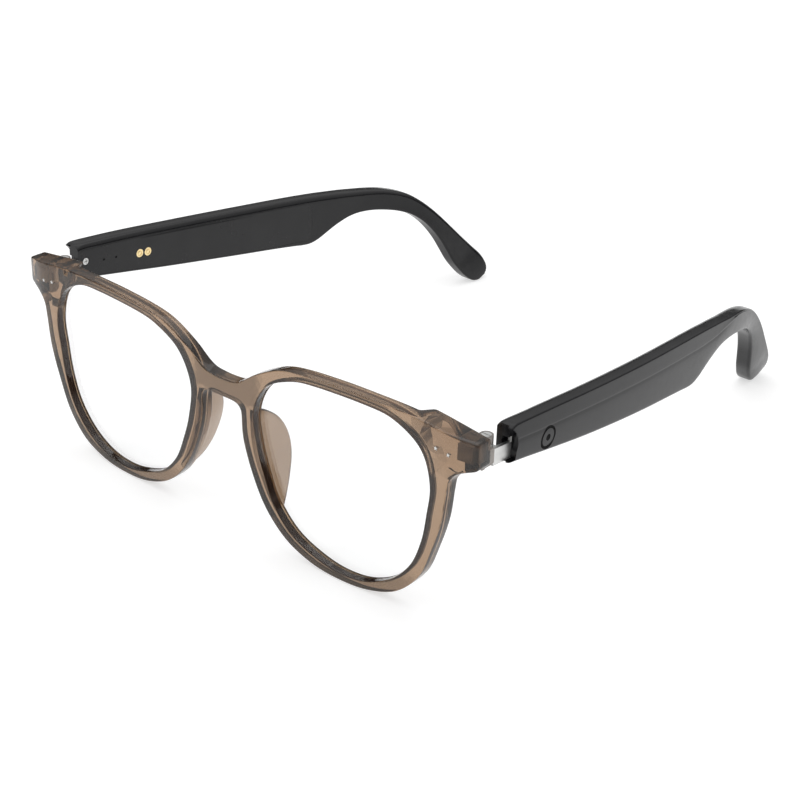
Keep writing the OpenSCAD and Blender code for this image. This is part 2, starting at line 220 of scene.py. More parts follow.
# ---------- materials ----------
class Mat:
    """A node material with a few short ways to add detail."""

    def __init__(self, name, **sockets):
        self.mat = bpy.data.materials.new(name)
        self.mat.use_nodes = True
        self.tree = self.mat.node_tree
        self.shader = self.tree.nodes["Principled BSDF"]
        for key, value in sockets.items():
            self.shader.inputs[key.replace("_", " ")].default_value = value

    def add(self, kind, **values):
        node = self.tree.nodes.new(kind)
        for key, value in values.items():
            if key in node.inputs:
                node.inputs[key].default_value = value
            else:
                setattr(node, key, value)
        return node

    def link(self, a, b):
        self.tree.links.new(a, b)

    def noise(self, scale, detail=3, stretch=(1, 1, 1)):
        place = self.add("ShaderNodeTexCoord")
        mapping = self.add("ShaderNodeMapping")
        mapping.inputs["Scale"].default_value = stretch
        node = self.add("ShaderNodeTexNoise", Scale=scale, Detail=detail)
        self.link(place.outputs["Object"], mapping.inputs["Vector"])
        self.link(mapping.outputs["Vector"], node.inputs["Vector"])
        return node.outputs["Fac"]

    def spread(self, fac, socket, low, high):
        ramp = self.add("ShaderNodeMapRange")
        ramp.inputs["From Min"].default_value = 0.3
        ramp.inputs["From Max"].default_value = 0.7
        ramp.inputs["To Min"].default_value = low
        ramp.inputs["To Max"].default_value = high
        self.link(fac, ramp.inputs["Value"])
        self.link(ramp.outputs["Result"], self.shader.inputs[socket])

    def tint(self, fac, colours, socket="Base Color"):
        ramp = self.add("ShaderNodeValToRGB")
        ramp.color_ramp.elements[0].position = 0.3
        ramp.color_ramp.elements[0].color = (*colours[0], 1)
        ramp.color_ramp.elements[1].position = 0.7
        ramp.color_ramp.elements[1].color = (*colours[1], 1)
        self.link(fac, ramp.inputs["Fac"])
        self.link(ramp.outputs["Color"], self.shader.inputs[socket])

    def bump(self, fac, strength, distance):
        node = self.add("ShaderNodeBump", Strength=strength, Distance=distance)
        self.link(fac, node.inputs["Height"])
        self.link(node.outputs["Normal"], self.shader.inputs["Normal"])


# Brown seen through the plastic, and a painted shade for a side wall that is seen from inside: a near-black
# brown in place of the dark studio reflected inside the plastic.
CLEAR_BROWN = (0.50, 0.36, 0.245, 1)
PAINTED_SHADE_BROWN = (0.036, 0.018, 0.016, 1)


def front_plastic():
    m = Mat("front_plastic", Transmission_Weight=1.0, IOR=1.49, Specular_IOR_Level=0.2)
    grain = m.add("ShaderNodeMapRange")
    m.link(m.noise(60, 2), grain.inputs["Value"])
    grain.inputs["To Min"].default_value = 0.9
    # the painted shade stored on the faces counts only where they are seen from inside the plastic; there it
    # turns the colour to near-black brown and takes away most of the transmission
    wall = m.add("ShaderNodeAttribute", attribute_name="wall")
    inside = m.add("ShaderNodeNewGeometry")
    painted_shade = m.add("ShaderNodeMath", operation="MULTIPLY")
    m.link(wall.outputs["Fac"], painted_shade.inputs[0])
    m.link(inside.outputs["Backfacing"], painted_shade.inputs[1])
    clear = m.add("ShaderNodeMapRange")
    clear.inputs["To Min"].default_value = 0.975
    clear.inputs["To Max"].default_value = 0.12
    m.link(painted_shade.outputs["Value"], clear.inputs["Value"])
    m.link(clear.outputs["Result"], m.shader.inputs["Transmission Weight"])
    shade = m.add("ShaderNodeValToRGB")
    shade.color_ramp.elements[0].color = CLEAR_BROWN
    shade.color_ramp.elements[1].color = PAINTED_SHADE_BROWN
    m.link(painted_shade.outputs["Value"], shade.inputs["Fac"])
    blend = m.add("ShaderNodeMix", data_type="RGBA", blend_type="MULTIPLY")
    blend.inputs["Factor"].default_value = 1.0
    m.link(shade.outputs["Color"], blend.inputs["A"])
    m.link(grain.outputs["Result"], blend.inputs["B"])
    m.link(blend.outputs["Result"], m.shader.inputs["Base Color"])
    m.spread(m.noise(900), "Roughness", 0.03, 0.08)
    m.bump(m.noise(220, 2), 0.02, 0.0003)
    fill = m.add("ShaderNodeVolumeAbsorption")
    fill.inputs["Color"].default_value = (0.53, 0.40, 0.27, 1)
    fill.inputs["Density"].default_value = 130
    m.link(fill.outputs["Volume"], m.tree.nodes["Material Output"].inputs["Volume"])
    return m.mat


def lens_glass():
    m = Mat("lens_glass", Transmission_Weight=1.0, IOR=1.45, Specular_IOR_Level=0.25)
    m.tint(m.noise(20, 1), ((0.985, 0.99, 0.99), (0.995, 0.995, 1.0)))
    m.spread(m.noise(400), "Roughness", 0.0, 0.01)
    return m.mat


def lens_rim():
    m = Mat("lens_rim", IOR=1.5)
    m.tint(m.noise(300), ((0.010, 0.006, 0.005), (0.022, 0.013, 0.010)))
    m.spread(m.noise(800), "Roughness", 0.5, 0.7)
    return m.mat


def temple_plastic():
    m = Mat("temple_plastic", IOR=1.5, Specular_IOR_Level=0.32)
    m.tint(m.noise(90), ((0.004, 0.004, 0.005), (0.008, 0.008, 0.009)))
    m.spread(m.noise(500), "Roughness", 0.16, 0.26)
    m.bump(m.noise(350, 2), 0.012, 0.0003)
    return m.mat


def cover_plastic():
    m = Mat("cover_plastic", IOR=1.5, Specular_IOR_Level=0.34)
    m.tint(m.noise(120), ((0.006, 0.006, 0.007), (0.011, 0.011, 0.012)))
    m.spread(m.noise(90), "Roughness", 0.23, 0.29)
    m.bump(m.noise(150, 2), 0.01, 0.0001)
    return m.mat


def metal(name, low, high, rough, stretch=(1, 1, 1)):
    m = Mat(name, Metallic=1.0, IOR=2.5)
    m.tint(m.noise(300), (low, high))
    m.spread(m.noise(900, 4, stretch), "Roughness", rough, rough + 0.14)
    m.bump(m.noise(1500, 3, stretch), 0.12, 0.0001)
    return m.mat


def plastic(name, low, high, rough, shine=0.5):
    m = Mat(name, IOR=1.46, Specular_IOR_Level=shine)
    m.tint(m.noise(200), (low, high))
    m.spread(m.noise(600), "Roughness", rough, rough + 0.15)
    m.bump(m.noise(1500), 0.15, 0.0001)
    return m.mat


def circuit_board():
    m = Mat("circuit_board", IOR=1.5, Coat_Weight=0.3)
    place = m.add("ShaderNodeTexCoord")
    tracks = m.add("ShaderNodeTexBrick", Scale=900)
    tracks.inputs["Color1"].default_value = (0.010, 0.09, 0.045, 1)
    tracks.inputs["Color2"].default_value = (0.012, 0.11, 0.055, 1)
    tracks.inputs["Mortar"].default_value = (0.03, 0.2, 0.09, 1)
    m.link(place.outputs["Object"], tracks.inputs["Vector"])
    m.link(tracks.outputs["Color"], m.shader.inputs["Base Color"])
    m.spread(m.noise(500), "Roughness", 0.25, 0.4)
    return m.mat


MATERIALS = {
    "front_plastic": front_plastic(),
    "clear_lens": lens_glass(),
    "temple_plastic": temple_plastic(),
    "cover_plastic": cover_plastic(),
    "mark_ink": plastic("mark_ink", (0.002, 0.002, 0.002), (0.004, 0.004, 0.004), 0.6, shine=0.1),
    "dark_steel": metal("dark_steel", (0.22, 0.20, 0.19), (0.32, 0.30, 0.28), 0.3),
    "bright_steel": metal("bright_steel", (0.58, 0.58, 0.57), (0.70, 0.70, 0.69), 0.3, (1, 0.1, 1)),
    "gold": metal("gold", (0.86, 0.66, 0.32), (0.95, 0.78, 0.45), 0.22),
    "magnet": metal("magnet", (0.42, 0.42, 0.44), (0.55, 0.55, 0.56), 0.25),
    "circuit_board": circuit_board(),
    "cell_wrap": plastic("cell_wrap", (0.06, 0.07, 0.10), (0.09, 0.10, 0.14), 0.3),
    "flex": plastic("flex", (0.42, 0.17, 0.03), (0.55, 0.25, 0.05), 0.25),
    "inner_plastic": plastic("inner_plastic", (0.012, 0.012, 0.014), (0.02, 0.02, 0.022), 0.45),
    "light_pipe": plastic("light_pipe", (0.7, 0.72, 0.66), (0.8, 0.82, 0.76), 0.2),
}

slots = {s["node"]: s["material_slot"] for s in frame["record"]["subparts"]}
for name, obj in nodes.items():
    obj.data.materials.clear()
    obj.data.materials.append(MATERIALS[slots[name]])


def finish_piece(obj, slot, body, *replaced):
    obj.data.materials.clear()
    obj.data.materials.append(MATERIALS[slot])
    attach(obj, body)
    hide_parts(*replaced)


# ---------- the front ----------
LENS_EDGE = [
    (60.7, 26.7), (59.4, 19.2), (56.6, 12.1), (51.3, 6.3), (44.3, 2.8), (36.5, 2), (29, 3.5), (22, 6.7),
    (16.7, 12.3), (13.6, 19.2), (11.3, 26.7), (10.5, 35.1), (14.4, 42.7), (21.9, 46.7), (29.6, 48),
    (43.5, 48.3), (51.5, 47.3), (58.6, 42.7), (61.4, 34.8),
]
BRIDGE_UNDER = [(0, 35.5), (3.6, 35.5), (5.3, 35.1), (6.2, 34.2), (6.5, 33)]
RIM_UNDER = [
    (6.5, 33), (7, 26.4), (9.9, 17.8), (14.1, 10.2), (20.3, 4.3), (28.2, 1), (36.4, 0), (44.8, 0.6),
    (53, 3.6), (59.1, 10), (62.4, 18), (64.9, 26.4), (65.9, 34), (66.6, 37.6), (68.6, 39.8), (72.2, 41.3),
]
CORNERS = [(72.2, 41.3), (72.8, 41.7), (73, 42.3), (73, 45), (73, 47.3), (72.85, 47.8), (72.4, 48.05)]
FRONT_TOP = [
    (72.4, 48.05), (66, 48.9), (60, 49.6), (53, 50.2), (45, 50.4), (36, 50.4), (25.4, 49.8), (18.3, 48.4),
    (11.4, 45), (6.9, 41.8), (4.2, 40.6), (0, 40.3),
]
FACE_CORNER = [(56, -2.405), (60, -2.08), (64, -2.0), (67.5, -1.7), (70.5, -0.95), (72.4, -0.35), (73, -0.1)]
OUTLINE_STEP = 0.5
FILL_STEP = 1.6
OPENING = evenly(spline(LENS_EDGE, 8, True), OUTLINE_STEP)


def face_y(x, z):
    """The front surface."""
    x = abs(x)
    y = along(FACE_CORNER, x) if x > 60 else BOW * x * x + BOW_Y
    return y - LEAN * (z - LEAN_Z)


def rear_y(x, z):
    """The rear surface, which steps back behind the endpieces but stays clear of the lens openings."""
    rim = face_y(x, z) + RIM_T
    block = smoothstep((abs(x) - 55.5) / 2.5) * smoothstep((z - 37) / 2.5)
    if block > 0:
        p = Vector((abs(x), z))
        block *= smoothstep((min((p - q).length for q in OPENING) - 1) / 0.9)
    return rim + block * (ENDPIECE_REAR - rim)


def on_front(p, depth):
    """A point of the front moulding; depth runs from 0 at its face to RIM_T at its rear."""
    front, rear = face_y(p.x, p.y), rear_y(p.x, p.y)
    return world(p.x, front + depth / RIM_T * (rear - front), max(p.y, 0))


def edge_profile():
    """[inset, depth] steps over the outer edge, which is rounded at the front and at the rear."""
    turn = [math.pi / 2 * k / 5 for k in range(6)]
    near = [(EDGE_R * (1 - math.sin(a)), EDGE_R * (1 - math.cos(a))) for a in turn]
    far = [(inset, RIM_T - depth) for inset, depth in reversed(near)]
    return near + [(0, RIM_T / 2)] + far


def lens_profile():
    """[inset, depth] steps over the edge of a lens opening, with the groove that holds the lens."""
    slope = [(0.25, 0), (0.19, 0.01), (0.13, 0.03), (0.07, 0.08), (0.03, 0.14), (0, 0.24), (0, 0.8)]
    gap = LENS_GRIP + 0.04
    groove = [(0, 1.98), (gap, 1.98), (gap, 3.04), (0, 3.04)]
    back = [(0.04, 3.25), (0.15, 3.42), (0.3, 3.52), (0.5, RIM_T)]
    return slope + groove + back


def mirrored_ring(ring):
    """The outline on the other side, in the same direction round."""
    return [Vector((-p.x, p.y)) for p in reversed(ring)]


def front_outline():
    """The whole outer outline, clockwise, from one half's curves."""
    half = spline(BRIDGE_UNDER, 3)[:-1] + spline(RIM_UNDER, 6)[:-1] + CORNERS[:-1] + spline(FRONT_TOP, 5)
    other = [(-x, z) for x, z in reversed(half)]
    return evenly(list(reversed(half + other[1:-1])), OUTLINE_STEP)


def fill_face(bm, loops, depth_y):
    """Triangles between the outer loop and the lens loops, with inner points that keep the bow smooth."""
    flat = []
    made = []
    edges = []
    for ring, verts in loops:
        first = len(flat)
        flat += ring
        made += verts
        edges += [(first + i, first + (i + 1) % len(ring)) for i in range(len(ring))]
    outer, holes = loops[0][0], [ring for ring, _ in loops[1:]]
    near = [outset(outer, -0.7)] + [outset(h, 0.7) for h in holes]
    for i in range(-46, 47):
        for k in range(32):
            p = Vector((i + (k % 2) / 2, k)) * FILL_STEP
            if within(near[0], p) and not any(within(h, p) for h in near[1:]):
                flat.append(p)
                made.append(bm.verts.new(world(p.x, depth_y(p.x, p.y), p.y)))
    coords, _, faces, origin, _, _ = delaunay_2d_cdt(flat, edges, [], 0, 1e-5)
    for f in faces:
        mid = sum((coords[i] for i in f), Vector((0, 0))) / len(f)
        if within(outer, mid) and not any(within(h, mid) for h in holes):
            corners = [made[origin[i][0]] for i in f]
            if len(set(corners)) == 3:
                bm.faces.new(corners)


def make_front():
    """The front moulding without its pads."""
    bm = bmesh.new()
    outline = front_outline()
    openings = [OPENING, mirrored_ring(OPENING)]
    front_loops, rear_loops = [], []
    rings = []
    for inset, depth in edge_profile():
        ring = outset(outline, -inset)
        rings.append([bm.verts.new(on_front(p, depth)) for p in ring])
        if depth == 0:
            front_loops.append((ring, rings[-1]))
    rear_loops.append((ring, rings[-1]))
    bridge_rings(bm, rings)
    for edge in openings:
        rings = []
        for inset, depth in lens_profile():
            ring = outset(edge, inset)
            rings.append([bm.verts.new(on_front(p, depth)) for p in ring])
            if depth == 0:
                front_loops.append((ring, rings[-1]))
        rear_loops.append((ring, rings[-1]))
        bridge_rings(bm, rings)
    fill_face(bm, front_loops, face_y)
    fill_face(bm, rear_loops, rear_y)
    return new_object("front_moulding", bm, 35)


# Each line: a point where the pad leaves the rim, and a point on its rear edge, as [x, depth, z].
PAD = [
    ((8.1, 2.4, 34.0), (8.4, 3.6, 34.1)), ((8.3, 2.4, 32.6), (9.2, 6.4, 32.9)),
    ((8.6, 2.4, 30.0), (10.2, 9.1, 30.6)), ((8.9, 2.4, 27.0), (11.1, 10.7, 27.4)),
    ((9.5, 2.4, 23.8), (11.9, 11.2, 24.0)), ((10.7, 2.4, 20.2), (12.6, 10.7, 20.4)),
    ((12.2, 2.4, 16.6), (13.3, 9.3, 16.5)), ((13.8, 2.4, 13.3), (14.3, 7.2, 12.9)),
    ((15.3, 2.4, 10.8), (15.5, 4.8, 10.3)), ((16.2, 2.4, 9.4), (16.3, 3.2, 9.0)),
]


def make_pad():
    """The left nose pad: a rounded fin that grows rearwards out of the rim."""
    base = spline([a for a, b in PAD], 4)
    rear = spline([b for a, b in PAD], 4)
    rings = []
    last = len(base) - 1
    for i, (a, b) in enumerate(zip(base, rear)):
        swell = math.sin(math.pi * (0.12 + 0.76 * i / last))
        half = 0.45 + 0.8 * swell
        a, b = Vector(a), Vector(b)
        way = (b - a).normalized()
        across = Vector((way.y, -way.x, 0)).normalized()
        tip = b - way * half
        ring = [a + across * half * 1.15, a.lerp(tip, 0.5) + across * half]
        ring += [tip + (across * math.cos(t) + way * math.sin(t)) * half
                 for t in (math.pi * k / 8 for k in range(9))]
        ring += [a.lerp(tip, 0.5) - across * half, a - across * half * 1.15]
        rings.append([(p.x, face_y(p.x, p.z) + p.y, p.z) for p in ring])
    return loft("pad", rings)


LENS_MIDDLE = Vector((36, 26))
# Greatest painted shade, from 0 to 1, of the faces that aren't plain side walls.
BRIDGE_SHADE = 0.38
BOTTOM_SHADE = 0.3
PAD_SHADE = 0.2
UNDERSIDE_SHADE = 0.4
ENDPIECE_SHADE = 0.45
LOW_WALL_SHADE = 0.5


def wall_shade(x, z, normal, depth):
    """The painted shade of a face, seen from inside the plastic, from its place, its normal and its depth in
    the rim.
    """
    across, down = abs(normal.x), max(-normal.z, 0)
    wall = smoothstep((0.8 - abs(normal.y)) / 0.3)
    if wall == 0 and 0.6 < depth < RIM_T - 0.6:
        outward = (Vector((x, z)) - LENS_MIDDLE).normalized()
        across, down, wall = abs(outward.x), max(outward.y, 0), 1
    low = smoothstep((16 - z) / 6)
    endpiece = smoothstep((x - 57) / 4) * smoothstep((z - 36) / 3)
    if depth >= RIM_T + 0.1 and endpiece == 0:
        return PAD_SHADE
    shade = smoothstep((across - 0.35) / 0.35) * (1 - endpiece)
    shade = max(shade, smoothstep(down / 0.6) * max(low, ENDPIECE_SHADE * endpiece, UNDERSIDE_SHADE))
    shade = max(shade, LOW_WALL_SHADE * low)
    # painted shade on the bridge and along the bottom of the rims
    bridge = BRIDGE_SHADE * smoothstep((12 - x) / 3) * smoothstep((z - 33) / 3)
    bottom = BOTTOM_SHADE * smoothstep((10 - z) / 5)
    return max(wall * shade, bridge, bottom)


def mark_walls(front):
    """Stores the painted shade of each face for the front's material."""
    values = front.data.attributes.new("wall", "FLOAT", "FACE").data
    for f, value in zip(front.data.polygons, values):
        x, y, z = abs(f.center.x) / MM, f.center.y / MM + MID_Y, f.center.z / MM
        value.value = wall_shade(x, z, f.normal, y - face_y(x, z))


def make_front_assembly():
    front = make_front()
    pad = make_pad()
    for piece in (pad, mirror_copy(pad, "pad_twin")):
        boolean(front, piece, "UNION")
    front.data.set_sharp_from_angle(angle=math.radians(38))
    # painted shade for the dark walls and for the darker bridge and bottom, stored on the faces
    mark_walls(front)
    finish_piece(front, "front_plastic", "front", "front_frame")


def make_lens():
    """The left lens, whose edge sits in the groove."""
    bm = bmesh.new()
    steps = [(0.35, LENS_INSET + 0.02), (LENS_GRIP, LENS_INSET + 0.35), (LENS_GRIP, LENS_INSET + 0.65),
             (0.35, LENS_INSET + LENS_T - 0.02)]
    rings = []
    for out, depth in steps:
        ring = outset(OPENING, out)
        rings.append([bm.verts.new(world(p.x, face_y(p.x, p.y) + depth, p.y)) for p in ring])
    bridge_rings(bm, rings)
    for f in bm.faces:
        f.material_index = 1
    ring = outset(OPENING, steps[0][0])
    for verts, depth in ((rings[0], steps[0][1]), (rings[-1], steps[-1][1])):
        fill_face(bm, [(ring, verts)], lambda x, z, d=depth: face_y(x, z) + d)
    return new_object("lens_glass_left", bm, 30)


# ---------- the temples ----------
TEMPLE_T = 4.8
OUTER_X = 73.4
OUTER_SLOPE = 0.0116
OUTER_CURVE = 0.0006
EAR_CURVE = 0.00256
WALL_T = 0.9
COVER_T = 0.7
# Each line: a point on the top edge and the point under it on the bottom edge, as [y, z].
TEMPLE_LINES = [
    ((10.3, 46.4), (9.4, 40.5)), ((10.7, 47.2), (10.1, 39.8)), ((11.4, 47.85), (11, 39.1)),
    ((13, 48.25), (12.8, 38.75)), ((18, 47.9), (18, 37.9)), ((28.5, 46.95), (28, 36.1)),
    ((45, 45.2), (44, 33.3)), ((68, 42.85), (66, 29.9)), ((82, 41.5), (80, 27.95)),
    ((88, 40.9), (88.2, 26.75)), ((91, 40.6), (91.5, 26.2)), ((94.6, 40.2), (94.5, 26.05)),
    ((99, 39.7), (97.5, 26.75)), ((103.5, 39.1), (100.8, 28.15)), ((108, 38.5), (104.3, 29.55)),
    ((113, 37.7), (108.5, 30.75)), ((118, 36.9), (112.5, 31.15)), ((123, 35.9), (117.5, 30.8)),
    ((128, 34.4), (122.8, 29.75)), ((132.5, 32.4), (127.8, 28.3)), ((137, 29.4), (132.4, 26.2)),
    ((141.3, 25.8), (136.3, 23.3)), ((145.2, 22.0), (139.5, 19.8)), ((149, 18.0), (142.2, 15.9)),
    ((152.6, 14.2), (144.4, 11.8)), ((155.9, 10.8), (146.5, 7.8)), ((158.7, 7.9), (148.9, 4.5)),
    ((160.2, 5.6), (151.0, 2.2)), ((160.78, 3.6), (153.2, 0.6)), ((160.2, 1.9), (155.6, 0.05)),
    ((159.0, 0.8), (157.4, 0.3)),
]
# Height of the band above the crease, as [y, height].
BAND = [
    (9, 4.1), (30, 4.15), (70, 4.3), (96, 4.2), (107.5, 3.4), (113, 2.3), (117, 1.5), (121, 0.9), (130, 0.9),
]
MOUTH_Y = 12.8
CHANNEL_X = 70


def outer_x(y):
    """The temple's outer face, which curves inwards behind the hinge and more so at the ear."""
    u = y - 10
    return OUTER_X - OUTER_SLOPE * u - OUTER_CURVE * u * u - EAR_CURVE * max(u - 100, 0) ** 2


def section(h, band, crisp, turn):
    """[height, depth below the outer face] round a temple's section, from its bottom edge outwards and up."""
    k = min(1, h / 5)
    r = 0.9 * k
    crease = h - min(band, h * 0.4)
    step = 0.14 * crisp
    edge = 0.5 * k
    turn *= k
    fall = turn * 0.65
    low = 0.6 * k
    out = [(r * (1 - math.cos(t)), 0.24 + r * (1 - math.sin(t)))
           for t in (math.pi / 2 * i / 5 for i in range(6))]
    for i in range(1, 7):
        t = i / 7
        out.append((r + (crease - 1.2 - r) * t, 0.24 * (1 - t) ** 2))
    # the main face dips towards a small step under the upper band
    out += [(crease - below, step * part) for below, part in ((1.1, 0), (0.7, 0.25), (0.3, 0.8), (0.1, 1))]
    out += [(crease + 0.05, step * 0.9), (crease + 0.12, 0.02), (crease + 0.2, 0.0), (crease + 0.45, 0.0)]
    lean = 0.22
    for t in (0.35, 0.65, 0.9):
        out.append((crease + 0.45 + (h - edge - crease - 0.45) * t, lean * t))
    out += [(h - edge + edge * math.sin(t), lean + edge * (1 - math.cos(t)))
            for t in (math.pi / 2 * i / 5 for i in range(6))]
    out += [(h, TEMPLE_T * 0.25), (h, TEMPLE_T * 0.4), (h, TEMPLE_T - turn - 0.1)]
    out += [(h - fall * (1 - math.cos(t)), TEMPLE_T - turn * (1 - math.sin(t)))
            for t in (math.pi / 2 * i / 8 for i in range(1, 9))]
    out += [(h - fall - (h - fall - low) * t, TEMPLE_T) for t in (0.06, 0.35, 0.65, 0.94)]
    out += [(low * (1 - math.sin(t)), TEMPLE_T - low * (1 - math.cos(t)))
            for t in (math.pi / 2 * i / 4 for i in range(5))]
    out += [(0, TEMPLE_T - low - 0.2), (0, TEMPLE_T * 0.6), (0, 0.24 + r + 0.15)]
    return out


def temple_rings():
    """Sections along the temple, as rings of points; they narrow and close at the ear tip."""
    tops = spline([a for a, b in TEMPLE_LINES], 6)
    lows = spline([b for a, b in TEMPLE_LINES], 6)
    rings = []
    last = len(tops) - 1
    for i, (top, low) in enumerate(zip(tops, lows)):
        top, low = Vector(top), Vector(low)
        h = (top - low).length
        up = (top - low) / h
        band = along(BAND, top.x)
        crisp = smoothstep((band - 0.9) / 3)
        turn = 2 + 0.3 * smoothstep((top.x - 10) / 12)
        closing = max(0, (i - (last - 20)) / 20)
        pinch = math.sqrt(max(0.0, 1 - (closing * 0.86) ** 2.4))
        # behind the ear each section keeps to one station, so that the curve inwards doesn't twist it
        level = smoothstep((low.x - 120) / 22)
        ring = []
        for a, w in section(h, band, crisp, turn):
            p = low + up * a
            w = TEMPLE_T / 2 + (w - TEMPLE_T / 2) * pinch
            station = p.x + ((top.x + low.x) / 2 - p.x) * level
            ring.append((outer_x(station) - w, p.x, p.y))
        rings.append(ring)
    return rings


TOP_EDGE = [(13, 48.3), (28.5, 46.95), (68, 42.85), (94.6, 40.2), (112, 37.9)]
BOTTOM_EDGE = [(10.8, 39.1), (20, 37.5), (36, 34.7), (54, 31.6), (72, 29), (88.9, 26.9)]
# Each: margins below the top edge and above the bottom edge, then the first and the last y.
ROOM = (2.2, 1.1, 17.5, 91)
COVER = (1.6, 0.7, 12.6, 93)
COVER_GAP = 0.05
MARK = (24.8, 40.3)
MARK_R = 2.8
MARK_DEPTH = 0.3
MARK_LINE = 0.62
DOT_R = 0.82
# The fall of the temple's top edge for each millimetre to the rear.
TOP_SLOPE = 0.099
# Cutters run past the temple's faces: outwards to OUTSIDE_X, inwards to OPEN_DEPTH.
OUTSIDE_X = 80
OPEN_DEPTH = 8
MOUTH = (8.3, 43.5)
MOUTH_R = 4.9
MOUTH_X = 71.9


def straight(points, x):
    """The value at x on the straight lines between points that are sorted by x."""
    for (x0, y0), (x1, y1) in zip(points, points[1:]):
        if x <= x1:
            return y0 + (y1 - y0) * (x - x0) / (x1 - x0)
    return points[-1][1]


def inner_outline(top_margin, low_margin, y0, y1):
    """The outline of the space behind the cover, as in the CAD."""
    ys = [y0 + (y1 - y0) * k / 6 for k in range(7)]
    top = [(y, straight(TOP_EDGE, y) - top_margin) for y in ys]
    end = straight(TOP_EDGE, y1) - top_margin, straight(BOTTOM_EDGE, y1) + low_margin
    turn = [(y1 + 1.5, end[0] - 1.6), (y1 + 1.5, end[1] + 2.4)]
    low = [(y, straight(BOTTOM_EDGE, min(y, 88.9)) + low_margin) for y in reversed(ys)]
    return top + turn + low


def layer_cutter(name, outline, depth, gap):
    """A cutter of the outline's shape, widened by the gap, from a depth below the outer face inwards."""
    ring = outset(evenly(outline, 2), gap)
    return loft(name, [[(outer_x(p.x) - w, p.x, p.y) for p in ring] for w in (depth, OPEN_DEPTH)])


def turned(name, y, z, profile, count, sharp=None):
    """A round part square to the temple's outer face, from its [radius, depth below that face] profile."""
    lean = math.atan(OUTER_SLOPE + 2 * OUTER_CURVE * (y - 10))
    turn = Matrix.Rotation(lean, 3, "Z") @ Matrix.Rotation(-math.atan(TOP_SLOPE), 3, "X")
    rings = []
    for radius, depth in profile:
        ring = []
        for k in range(count):
            t = 2 * math.pi * k / count
            p = turn @ Vector((-depth, radius * math.cos(t), radius * math.sin(t)))
            ring.append((outer_x(y) + p.x, y + p.y, z + p.z))
        rings.append(ring)
    return loft(name, rings, sharp)


def disc(name, radius, depth_from, depth_to):
    """A round cutter for the touch mark."""
    return turned(name, *MARK, [(radius, depth_from), (radius, depth_to)], 48)


def make_temple(marked):
    """The left temple's shell, with or without the touch mark."""
    shell = loft("temple_body", temple_rings(), 40)
    y, z = MOUTH
    arc = [(y + MOUTH_R * math.cos(t), z + MOUTH_R * math.sin(t))
           for t in (2 * math.pi * k / 96 for k in range(96))]
    boolean(shell, prism("mouth", arc, MOUTH_X, OUTSIDE_X), "DIFFERENCE")
    back = [(3, 30), (11.5, 30), (11.5, 60), (3, 60)]
    boolean(shell, prism("set_back", back, 60, MOUTH_X), "DIFFERENCE")
    channel = [(3, 39.3), (MOUTH_Y, 39.3), (MOUTH_Y, 45), (3, 45)]
    boolean(shell, prism("channel", channel, CHANNEL_X, OUTSIDE_X), "DIFFERENCE")
    slot = [(12, 39.1), (16.1, 39.1), (16.1, 45), (12, 45)]
    boolean(shell, prism("slot", slot, 70.65, 71.75), "DIFFERENCE")
    recess = layer_cutter("recess", inner_outline(*COVER), TEMPLE_T - COVER_T, COVER_GAP)
    room = layer_cutter("room", inner_outline(*ROOM), WALL_T, 0)
    for cutter in (recess, room):
        boolean(shell, cutter, "DIFFERENCE")
    if marked:
        ring = disc("ring", MARK_R + 0.02, -1, MARK_DEPTH)
        boolean(ring, disc("core", MARK_R - MARK_LINE, -2, 2), "DIFFERENCE")
        boolean(shell, ring, "DIFFERENCE")
        boolean(shell, disc("dot", DOT_R, -1, MARK_DEPTH), "DIFFERENCE")
    shell.data.set_sharp_from_angle(angle=math.radians(40))
    return shell


def place_temples():
    left = make_temple(True)
    plain = make_temple(False)
    right = mirror_copy(plain, "temple_body_right")
    bpy.data.objects.remove(plain)
    left.name = "temple_body_left"
    finish_piece(left, "temple_plastic", "temple_left", "temple_shell_left")
    finish_piece(right, "temple_plastic", "temple_right", "temple_shell_right")


# ---------- small metal parts ----------
CONTACTS = [(32.4, 40.4), (35.2, 40.1)]
SCREW = (14, 43.4)
PINS = [(62.8, 44.4), (66.1, 43.9)]
PIN_END = -0.9
# Each line: radius and depth below the temple's inner face.
CONTACT_PROFILE = [
    (1.18, 0.7), (1.18, 0.06), (1.12, 0.0), (0.78, 0.0), (0.72, 0.06), (0.7, 0.16), (0.58, 0.16),
    (0.55, 0.08), (0.48, 0.04), (0.2, 0.03),
]
SCREW_PROFILE = [(0.5, 3.2), (0.5, 0.5), (0.98, 0.5), (0.98, 0.1), (0.9, 0.03), (0.6, 0.0), (0.3, 0.0)]


def inner_part(name, y, z, profile):
    """A round part set square into the temple's inner face."""
    return turned(name, y, z, [(radius, TEMPLE_T - depth) for radius, depth in profile], 40, 30)


def join(name, pieces):
    """One object made of the pieces, which are removed."""
    bm = bmesh.new()
    for piece in pieces:
        bm.from_mesh(piece.data)
        bpy.data.objects.remove(piece)
    return new_object(name, bm, 30)


def star_pin(x, z):
    """An ornamental pin: a five-pointed head flush with the endpiece's face, and its shank."""
    head = face_y(x, z) - 0.02
    star = [(0.62 if k % 2 == 0 else 0.3, math.pi * k / 5) for k in range(10)]
    rings = []
    for y, grow in ((head, 0.85), (head + 0.1, 1), (head + 0.3, 1)):
        rings.append([(x + r * grow * math.sin(t), y, z + r * grow * math.cos(t)) for r, t in star])
    for y in (head + 0.32, PIN_END):
        rings.append([(x + 0.26 * math.sin(t), y, z + 0.26 * math.cos(t)) for _, t in star])
    return loft("pin", rings, 30)


